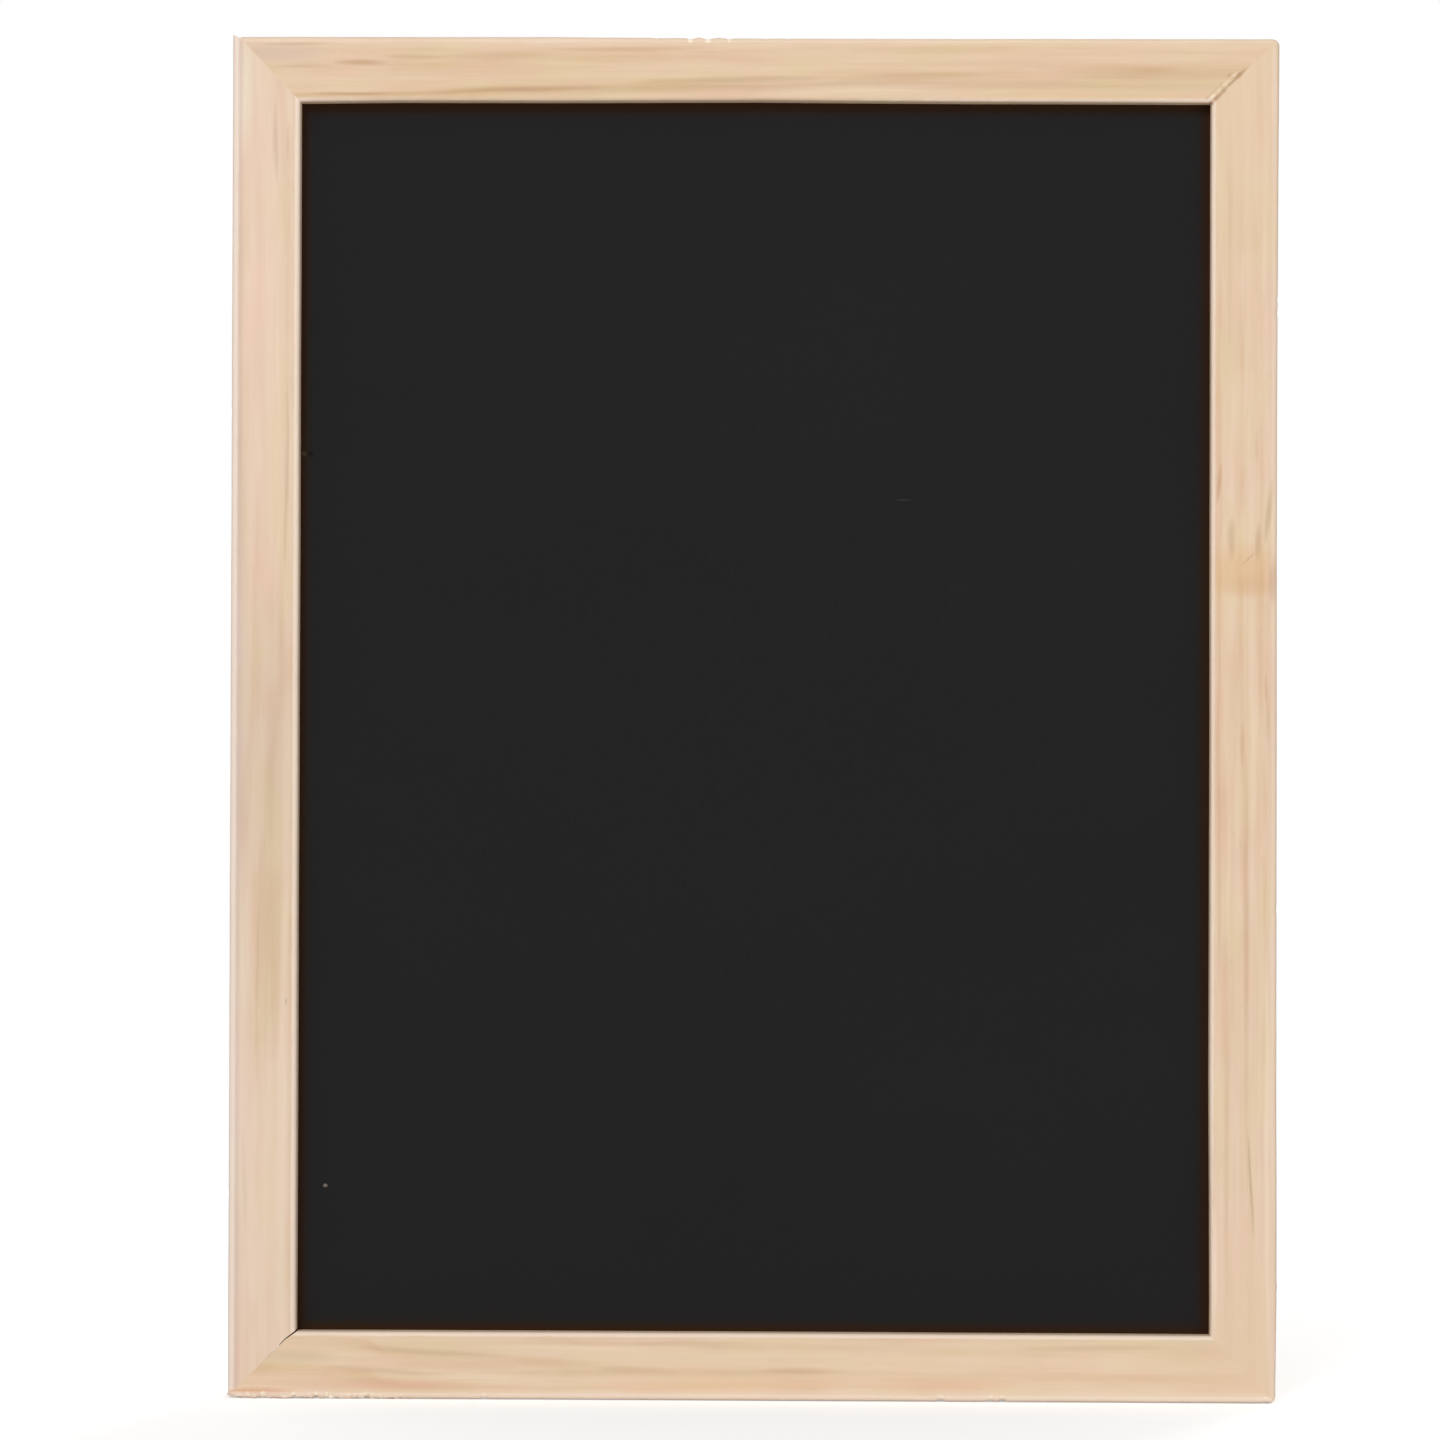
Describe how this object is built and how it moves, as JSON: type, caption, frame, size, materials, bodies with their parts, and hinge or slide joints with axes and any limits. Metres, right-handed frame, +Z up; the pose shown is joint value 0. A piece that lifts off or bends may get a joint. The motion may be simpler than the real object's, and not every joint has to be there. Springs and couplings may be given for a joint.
{
  "type": "framed blackboard",
  "caption": "Wall blackboard: a painted hardboard writing panel held in the rebate of a mitred pine frame, with a sawtooth hanger on the back.",
  "frame": {"origin": "middle of the frame's bottom edge, halfway through the moulding's depth", "axes": "+Z up along the height, +X to the right seen from the writing side, the writing side faces -Y and the wall side faces +Y"},
  "size_m": [0.33, 0.0171, 0.43],
  "materials": {
    "pine": "planed and sanded, unfinished, satin",
    "blackboard": "matt black blackboard paint on hardboard",
    "zinc_steel": "zinc plated, dull bright",
    "brassed_steel": "thin brass plating on pressed steel"
  },
  "bodies": {
    "root": {"top_rail": "pine", "right_stile": "pine", "bottom_rail": "pine", "left_stile": "pine", "writing_panel": "blackboard", "panel_point_top_1": "zinc_steel", "panel_point_top_2": "zinc_steel", "panel_point_right_1": "zinc_steel", "panel_point_right_2": "zinc_steel", "panel_point_right_3": "zinc_steel", "panel_point_bottom_1": "zinc_steel", "panel_point_bottom_2": "zinc_steel", "panel_point_left_1": "zinc_steel", "panel_point_left_2": "zinc_steel", "panel_point_left_3": "zinc_steel", "corner_wedge_top_right_outer": "zinc_steel", "corner_wedge_top_right_inner": "zinc_steel", "corner_wedge_bottom_right_outer": "zinc_steel", "corner_wedge_bottom_right_inner": "zinc_steel", "corner_wedge_bottom_left_outer": "zinc_steel", "corner_wedge_bottom_left_inner": "zinc_steel", "corner_wedge_top_left_outer": "zinc_steel", "corner_wedge_top_left_inner": "zinc_steel", "sawtooth_hanger": "brassed_steel", "hanger_nail_left": "brassed_steel", "hanger_nail_right": "brassed_steel"}
  },
  "joints": []
}
